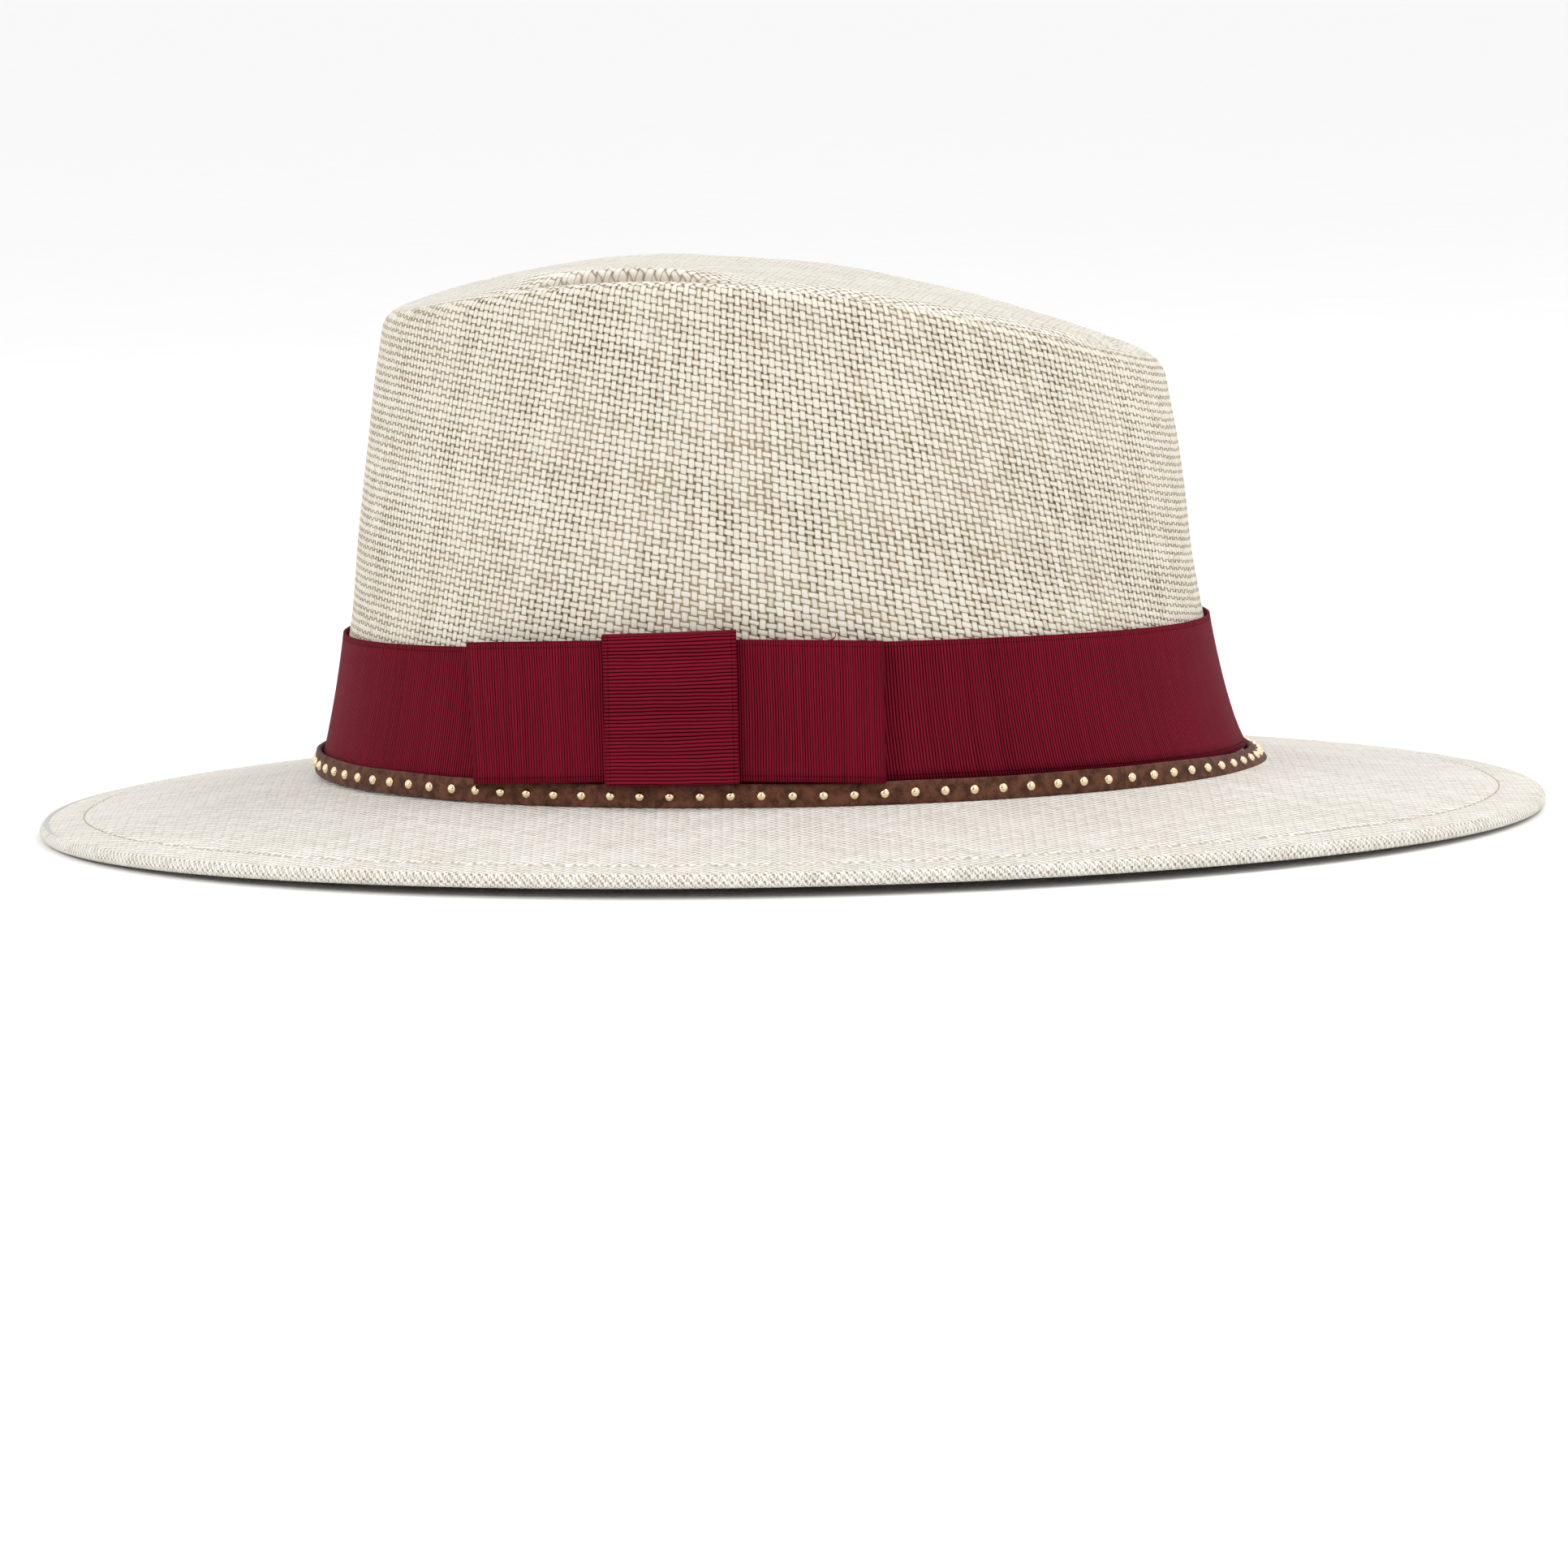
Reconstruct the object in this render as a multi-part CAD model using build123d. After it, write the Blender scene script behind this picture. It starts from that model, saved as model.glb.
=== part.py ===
from build123d import *
from functools import cache
from math import atan, cos, sin, sqrt
import os

os.makedirs("parts", exist_ok=True)

# Woven straw hat with a wide flat brim, a blocked crown, a ribbon with a flat bow and a studded strap.
# Millimetres, +Z up. The hat stands on its brim at z = 0, its front faces -Y and its bow is at +X.

# ---- the woven body -------------------------------------------------------------------------
brim_length = 356.0            # over the brim, front to back
brim_width = 326.0             # over the brim, side to side
break_height = 11.0            # top of the brim where the crown rises from it
cloth = 1.0                    # stiffened straw cloth
hem_depth = 11.0               # turned-under edge, from the fold's centre
hem_stitch_inset = 9.6         # stitch line, from the fold's centre
wire_width = 1.0               # flat spring wire inside the fold
wire_height = 0.8
wire_clearance = 0.01          # at the wire's corners, inside the fold
hem_gap = 0.1                  # between the flap's free edge and the brim above it

# Ovals of the crown: height above the brim's break, reach to the front, reach to the back, half width.
crown_ovals = [
    (0.0, 110.0, 107.0, 93.8),
    (9.0, 108.2, 103.6, 91.4),
    (24.0, 105.4, 100.0, 88.6),
    (41.0, 102.6, 96.8, 86.0),
    (68.0, 99.8, 93.4, 82.5),
    (87.0, 97.2, 90.6, 80.0),
    (126.0, 90.5, 83.0, 73.0),
]

# ---- the crown's top ------------------------------------------------------------------------
rim_peak = 118.0               # highest place of the rim, above the brim's break
rim_peak_y = -30.0
rim_front_bend = 220.0         # radius of the rim's arch, forward of its peak
rim_back_bend = 290.0          # and behind it
rim_half_length = 90.0         # plan of the rim
rim_half_width = 76.0
rim_centre_y = -2.0
moat_inset = 5.0               # groove inside the rim
moat_width = 6.0
moat_depth = 3.0
island_rise = 2.7              # the middle of the top stands this much above the rim

# ---- ribbon and bow -------------------------------------------------------------------------
ribbon_width = 31.2
ribbon_thick = 0.6
ribbon_gap = 0.5               # between the crown and the ribbon
ribbon_low = 5.2               # lower edge above the brim's break, at the sides
ribbon_dip = 2.5               # the ribbon lies this much lower at the front and the back
ribbon_lap_start = -38.0       # the ribbon's ends lap under the knot
ribbon_lap_end = -16.0
layer_gap = 0.1                # between layers of ribbon
bow_front = -73.2              # ends of the bow, along Y
bow_back = 20.5
bow_pocket = 1.2               # open space inside each loop
bow_width = 31.6               # ribbon of the bow
bow_dip = 0.5
bow_over_strap = 0.15          # the bow's lower edge clears the strap
knot_front = -42.8
knot_back = -12.1
knot_over = 2.2                # the knot stands above the loops

# ---- studded strap --------------------------------------------------------------------------
strap_half_length = 112.85
strap_half_width = 96.5
strap_thick = 1.3
strap_height = 5.4
strap_lift = 0.1               # above the brim, under its inner edge
stud_count = 94
stud_diameter = 2.3
stud_dome = 0.9
stud_shank = 0.8
stud_clearance = 0.05          # round the shank, in its hole
stud_clinch = 1.6              # flattened end behind the strap
stud_clinch_thick = 0.3

# ---- inside ---------------------------------------------------------------------------------
sweatband_height = 32.0
sweatband_thick = 0.9
sweatband_gap = 0.15
sweatband_low = 1.6            # above the brim's break
sweatband_join = 1.0           # between its two ends, at the back
sweatband_stitch_rise = 3.0    # stitch line above the sweatband's lower edge
label_length = 30.0
label_height = 12.0
label_thick = 0.4
label_gap = 0.05
label_rise = 9.0               # above the sweatband's lower edge

# ---- threads --------------------------------------------------------------------------------
thread = 0.5
thread_gap = 0.03

# ---- worked out from the values above --------------------------------------------------------
fold_bore = sqrt(wire_width**2 + wire_height**2) / 2 + wire_clearance
fold_radius = fold_bore + cloth
fold_half_length = brim_length / 2 - fold_radius
fold_half_width = brim_width / 2 - fold_radius
brim_reach = brim_width / 2 - fold_radius - crown_ovals[0][3]
brim_slope = atan((break_height - 2 * fold_radius) / brim_reach)
hem_close = atan((2 * fold_bore - hem_gap) / hem_depth)
sheet_end = (brim_reach + 2 * cloth) / cos(brim_slope)
ribbon_in = ribbon_gap
ribbon_out = ribbon_in + ribbon_thick
lap_out = ribbon_out + ribbon_thick
knot_in = lap_out + layer_gap
bow_in = knot_in + ribbon_thick + layer_gap
bow_out = bow_in + 2 * ribbon_thick + bow_pocket
knot_out = bow_out + layer_gap + ribbon_thick
sweatband_out = -(cloth + sweatband_gap)
sweatband_in = sweatband_out - sweatband_thick
strap_bottom = break_height + strap_lift
strap_middle = strap_bottom + strap_height / 2
band_low = break_height + ribbon_low
band_high = band_low + ribbon_width
knot_low = strap_bottom + strap_height + bow_over_strap + bow_dip
bow_low = knot_low + ribbon_thick + layer_gap
bow_high = bow_low + bow_width
knot_high = bow_high + knot_over
far = 2 * brim_length          # longer than anything cut by a box


def oval(height, half_length, half_width, centre_y=0.0):
    return Pos(0, centre_y, height) * Ellipse(half_width, half_length)


@cache
def crown_block(offset):
    """The crown's walls as a solid block, grown sideways by offset and not yet cut at the top."""
    ovals = []
    for rise, front, back, half_width in crown_ovals:
        half_length = (front + back) / 2 + offset
        centre_y = (back - front) / 2
        ovals.append(oval(break_height + rise, half_length, half_width + offset, centre_y))
    lowest = crown_ovals[0]
    foot = oval(0, (lowest[1] + lowest[2]) / 2 + offset, lowest[3] + offset, (lowest[2] - lowest[1]) / 2)
    return loft(ovals) + loft([foot, ovals[0]])


def rim_height(y, level):
    """Height of the rim's arch at y, or of an arch that stands above it by level."""
    bend = rim_front_bend if y < rim_peak_y else rim_back_bend
    return break_height + rim_peak + level - bend + sqrt(bend**2 - (y - rim_peak_y) ** 2)


def above_rim(level):
    """All the space above the rim's arch, raised by level."""
    reach = 1.2 * crown_ovals[0][1]
    front = [(y, rim_height(y, level)) for y in (-reach, (rim_peak_y - reach) / 2, rim_peak_y)]
    back = [(y, rim_height(y, level)) for y in (rim_peak_y, (rim_peak_y + reach) / 2, reach)]
    arch = [ThreePointArc(*front), ThreePointArc(*back)]
    roof = 2 * rim_peak
    sides = Polyline(back[2], (reach, roof), (-reach, roof), front[0])
    return extrude(Plane.YZ * make_face(arch + [sides]), amount=reach, both=True)


def column(inset):
    """An upright oval column inside the rim."""
    plan = oval(break_height, rim_half_length - inset, rim_half_width - inset, rim_centre_y)
    return extrude(plan, amount=1.5 * rim_peak)


def crown_form(inward):
    """The crown as a solid block, its outside or, with inward as the cloth, its hollow."""
    form = crown_block(-inward) - above_rim(-inward)
    form = form - (column(moat_inset - inward) & above_rim(-moat_depth - inward))
    return form + (column(moat_inset + moat_width + inward) - above_rim(island_rise - inward))


def slab(low, high):
    return Pos(0, 0, (low + high) / 2) * Box(far, far, high - low)


def span_y(low, high):
    """The half of space on the bow's side, between two places along the hat."""
    return Pos(far / 4, (low + high) / 2, 0) * Box(far / 2, high - low, far)


def skin(inner, outer):
    return crown_block(outer) - crown_block(inner)


def between_edges(low, high, dip):
    """Space between two edges that dip together towards the front and the back."""
    reach = crown_ovals[0][1] + knot_out
    lower = ThreePointArc((-reach, low - dip), (0, low), (reach, low - dip))
    upper = ThreePointArc((reach, high - dip), (0, high), (-reach, high - dip))
    outline = [lower, Line(lower @ 1, upper @ 0), upper, Line(upper @ 1, lower @ 0)]
    return extrude(Plane.YZ * make_face(outline), amount=far / 2, both=True)


def edge_path(inset=0.0, rise=0.0):
    """The oval through the fold's centre, or one further in and higher."""
    height = fold_radius + rise
    return Wire([Edge.make_ellipse(fold_half_width - inset, fold_half_length - inset, Plane.XY.offset(height))])


def section_plane(path):
    tangent = path % 0
    outward = Vector(-tangent.Y, tangent.X, 0)
    if outward.dot(path @ 0) < 0:
        outward = -outward
    return Plane(origin=path @ 0, x_dir=outward, z_dir=outward.cross(Vector(0, 0, 1)))


def thread_loop(inset, rise):
    path = edge_path(inset, rise)
    return sweep(section_plane(path) * Rectangle(thread, thread), path=path)


# ---- woven body -----------------------------------------------------------------------------

def brim_section():
    """Brim, rolled fold and the flap below it, in the plane of one radius of the hat."""
    sheet_normal = Vector(sin(brim_slope), cos(brim_slope))
    sheet_in = Vector(-cos(brim_slope), sin(brim_slope))
    flap_slope = brim_slope + hem_close
    flap_normal = Vector(-sin(flap_slope), -cos(flap_slope))
    flap_in = Vector(-cos(flap_slope), sin(flap_slope))
    top_out = fold_radius * sheet_normal
    top_in = top_out + sheet_end * sheet_in
    under_in = fold_bore * sheet_normal + sheet_end * sheet_in
    under_out = fold_bore * sheet_normal
    flap_top = fold_bore * flap_normal
    flap_bottom = fold_radius * flap_normal
    outline = [
        Line(top_in, top_out),
        ThreePointArc(top_out, (fold_radius, 0), flap_bottom),
        Line(flap_bottom, flap_bottom + hem_depth * flap_in),
        Line(flap_bottom + hem_depth * flap_in, flap_top + hem_depth * flap_in),
        Line(flap_top + hem_depth * flap_in, flap_top),
        ThreePointArc(flap_top, (fold_bore, 0), under_out),
        Line(under_out, under_in),
        Line(under_in, top_in),
    ]
    return make_face(outline)


def straw_body():
    path = edge_path()
    brim = sweep(section_plane(path) * brim_section(), path=path)
    lowest = break_height - cloth / cos(brim_slope)
    return (brim + (crown_form(0) & slab(lowest, far))) - crown_form(cloth)


def brim_wire():
    path = edge_path()
    return sweep(section_plane(path) * Rectangle(wire_width, wire_height), path=path)


def hem_stitching():
    """The hem's two threads: one lies on the brim, one lies under the flap."""
    over = fold_radius + thread / 2 + thread_gap
    upper_inset = hem_stitch_inset * cos(brim_slope) - over * sin(brim_slope)
    upper_rise = hem_stitch_inset * sin(brim_slope) + over * cos(brim_slope)
    flap_slope = brim_slope + hem_close
    lower_inset = hem_stitch_inset * cos(flap_slope) + over * sin(flap_slope)
    lower_rise = hem_stitch_inset * sin(flap_slope) - over * cos(flap_slope)
    return [thread_loop(upper_inset, upper_rise), thread_loop(lower_inset, lower_rise)]


# ---- inside ---------------------------------------------------------------------------------

def sweatband():
    low = break_height + sweatband_low
    band = skin(sweatband_in, sweatband_out) & slab(low, low + sweatband_height)
    join = Pos(0, far / 4, 0) * Box(sweatband_join, far / 2, far)
    return band - join


def sweatband_stitching():
    """The thread that sews the sweatband in, round its lower edge."""
    outer = sweatband_in - thread_gap
    height = break_height + sweatband_low + sweatband_stitch_rise
    return skin(outer - thread, outer) & slab(height - thread / 2, height + thread / 2)


def size_label():
    """A blank woven label over the sweatband's join."""
    outer = sweatband_in - label_gap
    low = break_height + sweatband_low + label_rise
    patch = skin(outer - label_thick, outer) & slab(low, low + label_height)
    return patch & (Pos(0, far / 4, 0) * Box(label_length, far / 2, far))


# ---- ribbon and bow -------------------------------------------------------------------------

def ribbon_band():
    band = skin(ribbon_in, ribbon_out)
    lap = skin(ribbon_out, lap_out) & span_y(ribbon_lap_start, ribbon_lap_end)
    return (band + lap) & between_edges(band_low, band_high, ribbon_dip)


def ribbon_tacks():
    """Stitches between the crown and the ribbon, near its upper edge."""
    gap = skin(thread_gap, ribbon_in - thread_gap)
    height = band_high - ribbon_dip - 4 * thread
    tacks = [
        Pos(0, 0, height) * Rot(0, 0, turn) * Rot(0, 90, 0) * Cylinder(thread / 2, far)
        for turn in range(0, 180, 45)
    ]
    return [solid for tack in tacks for solid in (gap & tack).solids()]


def bow_loops():
    """One folded ribbon: a flat loop to each side, open at its upper and lower edges."""
    outside = skin(bow_in, bow_out) & span_y(bow_front, bow_back)
    pocket = skin(bow_in + ribbon_thick, bow_out - ribbon_thick)
    pocket = pocket & span_y(bow_front + 2 * ribbon_thick, bow_back - 2 * ribbon_thick)
    return (outside - pocket) & between_edges(bow_low, bow_high, bow_dip)


def bow_knot():
    """A short ribbon wrapped round the middle of the bow."""
    wrap = skin(knot_in, knot_out) & between_edges(knot_low, knot_high, bow_dip)
    passage = skin(bow_in - layer_gap, bow_out + layer_gap)
    passage = passage & between_edges(bow_low - layer_gap, knot_high - ribbon_thick, bow_dip)
    return (wrap - passage) & span_y(knot_front, knot_back)


def bow_tacks():
    """Stitches between the bow and the band, at the four corners of the loops."""
    gap = skin(ribbon_out + thread_gap, bow_in - thread_gap)
    inset = 8 * thread
    low = band_low + inset
    high = band_high - ribbon_dip - inset
    tacks = [
        Pos(far / 4, y, z) * Rot(0, 90, 0) * Cylinder(thread / 2, far / 2)
        for y in (bow_front + inset, bow_back - inset)
        for z in (low, high)
    ]
    return [solid for tack in tacks for solid in (gap & tack).solids()]


# ---- studded strap --------------------------------------------------------------------------

def stud_places():
    """A plane for each stud: on the strap's outer face, evenly spaced, facing outwards."""
    path = Wire([Edge.make_ellipse(strap_half_width, strap_half_length, Plane.XY.offset(strap_middle))])
    places = []
    for i in range(stud_count):
        at = (i + 0.5) / stud_count
        point = path @ at
        tangent = path % at
        outward = Vector(tangent.Y, -tangent.X, 0)
        if outward.dot(Vector(point.X, point.Y, 0)) < 0:
            outward = -outward
        places.append(Plane(origin=point, x_dir=(0, 0, 1), z_dir=outward))
    return places


def studded_strap(places):
    half_length = strap_half_length - strap_thick
    half_width = strap_half_width - strap_thick
    ring = Ellipse(strap_half_width, strap_half_length) - Ellipse(half_width, half_length)
    strap = Pos(0, 0, strap_bottom) * extrude(ring, amount=strap_height)
    hole = Rot(0, 0, 30) * Cylinder(stud_shank / 2 + stud_clearance, 4 * strap_thick)
    return strap - [place * hole for place in places]


def strap_stud():
    """Dome, shank and clinched end, with the strap's outer face at z = 0."""
    ball = (stud_diameter**2 / 4 + stud_dome**2) / (2 * stud_dome)
    head = Pos(0, 0, stud_dome - ball) * Sphere(ball)
    head = head & (Pos(0, 0, thread_gap + ball) * Box(4 * ball, 4 * ball, 2 * ball))
    behind = strap_thick + 2 * thread_gap
    shank_low = -behind - stud_clinch_thick
    shank = Pos(0, 0, (thread_gap + shank_low) / 2) * Cylinder(stud_shank / 2, thread_gap - shank_low)
    clinch = Pos(0, 0, -behind - stud_clinch_thick / 2) * Cylinder(stud_clinch / 2, stud_clinch_thick)
    return head + shank + clinch


def strap_studs(places):
    stud = strap_stud()
    return [place * stud for place in places]


def strap_tacks():
    """Four stitches that hold the strap to the foot of the crown."""
    height = strap_bottom + 2 * thread
    inner = oval(0, strap_half_length - strap_thick - thread_gap, strap_half_width - strap_thick - thread_gap)
    gap = extrude(inner, amount=far) - crown_block(thread_gap)
    tacks = [Pos(0, 0, height) * Rot(0, 0, turn) * Box(far, thread, thread) for turn in (0, 90)]
    return [solid for tack in tacks for solid in (gap & tack).solids()]


places = stud_places()
nodes = {
    "straw_body": straw_body(),
    "brim_wire": brim_wire(),
    "hem_stitching": hem_stitching(),
    "sweatband": sweatband(),
    "sweatband_stitching": sweatband_stitching(),
    "size_label": size_label(),
    "ribbon_band": ribbon_band(),
    "ribbon_tacks": ribbon_tacks(),
    "bow_loops": bow_loops(),
    "bow_knot": bow_knot(),
    "bow_tacks": bow_tacks(),
    "studded_strap": studded_strap(places),
    "strap_studs": strap_studs(places),
    "strap_tacks": strap_tacks(),
}
for name, shape in nodes.items():
    solids = shape if isinstance(shape, list) else shape.solids()
    export_step(Compound(children=solids), f"parts/{name}.step")
    print(name, len(solids), "solids", round(sum(solid.volume for solid in solids)), "mm3")
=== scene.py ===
from math import atan, atan2, cos, exp, hypot, pi, radians, sin, sqrt

import bmesh
import bpy
from mathutils import Matrix, Vector, noise


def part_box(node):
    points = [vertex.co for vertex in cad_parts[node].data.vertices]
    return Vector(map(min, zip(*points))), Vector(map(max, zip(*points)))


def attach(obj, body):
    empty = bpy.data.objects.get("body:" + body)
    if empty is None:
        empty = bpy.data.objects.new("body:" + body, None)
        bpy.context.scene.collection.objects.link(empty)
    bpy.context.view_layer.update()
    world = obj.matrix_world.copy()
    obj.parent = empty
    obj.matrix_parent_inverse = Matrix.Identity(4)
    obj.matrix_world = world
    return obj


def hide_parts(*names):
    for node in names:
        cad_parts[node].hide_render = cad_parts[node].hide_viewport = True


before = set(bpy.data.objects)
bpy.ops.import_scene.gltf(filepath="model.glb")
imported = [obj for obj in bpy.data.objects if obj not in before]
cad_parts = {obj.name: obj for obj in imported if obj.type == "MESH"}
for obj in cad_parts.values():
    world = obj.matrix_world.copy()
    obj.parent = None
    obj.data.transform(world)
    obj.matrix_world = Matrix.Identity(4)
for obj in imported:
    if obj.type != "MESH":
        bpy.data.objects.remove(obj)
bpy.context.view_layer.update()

# A woven straw hat with a burgundy grosgrain ribbon and flat bow, and a studded suede strap.
# Shapes are worked out in millimetres and placed in metres.
MM = 0.001


# ---- camera, floor and light -------------------------------------------------------------------

VIEW_DISTANCE = 2.0
VIEW_ELEVATION = radians(6.1)
VIEW_ROLL = radians(1.24)
VIEW_TARGET = Vector((0, -0.0019, 0.0062))
LENS = 193.8
FLOOR = -1.5                   # the brim's lowest places, at the front and the back, reach this low


def add_camera():
    data = bpy.data.cameras.new("camera")
    data.lens = LENS
    data.sensor_width = 36
    data.clip_end = 20
    camera = bpy.data.objects.new("camera", data)
    bpy.context.scene.collection.objects.link(camera)
    towards = Vector((cos(VIEW_ELEVATION), 0, sin(VIEW_ELEVATION)))
    turn = towards.to_track_quat("Z", "Y").to_matrix().to_4x4()
    place = Matrix.Translation(VIEW_TARGET + VIEW_DISTANCE * towards)
    camera.matrix_world = place @ turn @ Matrix.Rotation(-VIEW_ROLL, 4, "Z")
    bpy.context.scene.camera = camera


def add_light(name, place, size, watts, aim=(0, 0, 0.06)):
    data = bpy.data.lights.new(name, "AREA")
    data.shape = "DISK"
    data.size = size
    data.energy = watts
    light = bpy.data.objects.new(name, data)
    bpy.context.scene.collection.objects.link(light)
    direction = Vector(place) - Vector(aim)
    light.rotation_euler = direction.to_track_quat("Z", "Y").to_euler()
    light.location = place


def add_studio():
    scene = bpy.context.scene
    scene.view_settings.view_transform = "Standard"
    world = bpy.data.worlds.new("studio")
    world.use_nodes = True
    g = Graph(world.node_tree)
    around = g.node("ShaderNodeSeparateXYZ", {0: g.node("ShaderNodeTexCoord").outputs["Generated"]})
    background = world.node_tree.nodes["Background"]
    background.inputs["Color"].default_value = (1.0, 1.0, 1.0, 1)
    g.feed(background.inputs["Strength"], g.ramp(around.outputs[0], 0.55, 0.85, 1.04, 0.35))
    scene.world = world
    add_light("key", (1.2, -1.2, 1.0), 0.45, 7)
    add_light("fill", (1.7, 0.8, 0.8), 0.9, 5)
    add_light("top", (0.0, 0.9, 1.7), 0.8, 8)
    bm = bmesh.new()
    bmesh.ops.create_grid(bm, x_segments=1, y_segments=1, size=60)
    bmesh.ops.translate(bm, verts=bm.verts, vec=(0, 0, FLOOR * MM))
    floor = mesh_object("floor", bm)
    floor.data.materials.append(floor_paper())


# ---- node helpers ------------------------------------------------------------------------------

class Graph:
    """Adds nodes to one tree and returns their outputs."""

    def __init__(self, tree):
        self.tree = tree

    def node(self, kind, inputs=(), **settings):
        made = self.tree.nodes.new(kind)
        for name, value in settings.items():
            setattr(made, name, value)
        for key, value in dict(inputs).items():
            self.feed(made.inputs[key], value)
        return made

    def feed(self, socket, value):
        if isinstance(value, bpy.types.NodeSocket):
            self.tree.links.new(value, socket)
        else:
            socket.default_value = value

    def math(self, operation, *values, clamp=False):
        made = self.tree.nodes.new("ShaderNodeMath")
        made.operation = operation
        made.use_clamp = clamp
        for socket, value in zip(made.inputs, values):
            self.feed(socket, value)
        return made.outputs[0]

    def mix(self, factor, first, second, blend="MIX"):
        made = self.node("ShaderNodeMix", data_type="RGBA", blend_type=blend)
        self.feed(made.inputs[0], factor)
        self.feed(made.inputs[6], first)
        self.feed(made.inputs[7], second)
        return made.outputs[2]

    def ramp(self, value, low, high, to_low=0.0, to_high=1.0):
        made = self.node("ShaderNodeMapRange", interpolation_type="SMOOTHSTEP")
        for socket, number in zip(made.inputs, (value, low, high, to_low, to_high)):
            self.feed(socket, number)
        return made.outputs[0]

    def noise(self, vector, scale, detail=2.0, kind="Fac"):
        made = self.node("ShaderNodeTexNoise")
        self.feed(made.inputs["Vector"], vector)
        made.inputs["Scale"].default_value = scale
        made.inputs["Detail"].default_value = detail
        return made.outputs[kind]

    def combine(self, x, y, z=0.0):
        return self.node("ShaderNodeCombineXYZ", {"X": x, "Y": y, "Z": z}).outputs[0]

    def random(self, value):
        made = self.node("ShaderNodeTexWhiteNoise", noise_dimensions="1D")
        self.feed(made.inputs["W"], value)
        return made.outputs["Value"]


def new_group(name, inputs, outputs):
    """A shader node group with float inputs by default value, or a vector where the value is None."""
    tree = bpy.data.node_groups.new(name, "ShaderNodeTree")
    for title, value in inputs.items():
        kind = "NodeSocketVector" if value is None else "NodeSocketFloat"
        socket = tree.interface.new_socket(name=title, in_out="INPUT", socket_type=kind)
        if value is not None:
            socket.default_value = value
    for title, kind in outputs.items():
        tree.interface.new_socket(name=title, in_out="OUTPUT", socket_type=kind)
    return tree, tree.nodes.new("NodeGroupInput"), tree.nodes.new("NodeGroupOutput")


def new_material(name, **values):
    """A material and its graph; values are set on the Principled shader's own sockets."""
    material = bpy.data.materials.new(name)
    material.use_nodes = True
    shader = material.node_tree.nodes["Principled BSDF"]
    for title, value in values.items():
        shader.inputs[title.replace("_", " ")].default_value = value
    return material, Graph(material.node_tree), shader


def add_bump(graph, shader, height, strength, distance):
    bump = graph.node("ShaderNodeBump", {"Height": height})
    bump.inputs["Strength"].default_value = strength
    bump.inputs["Distance"].default_value = distance
    graph.feed(shader.inputs["Normal"], bump.outputs[0])


# ---- straw weave -------------------------------------------------------------------------------

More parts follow.
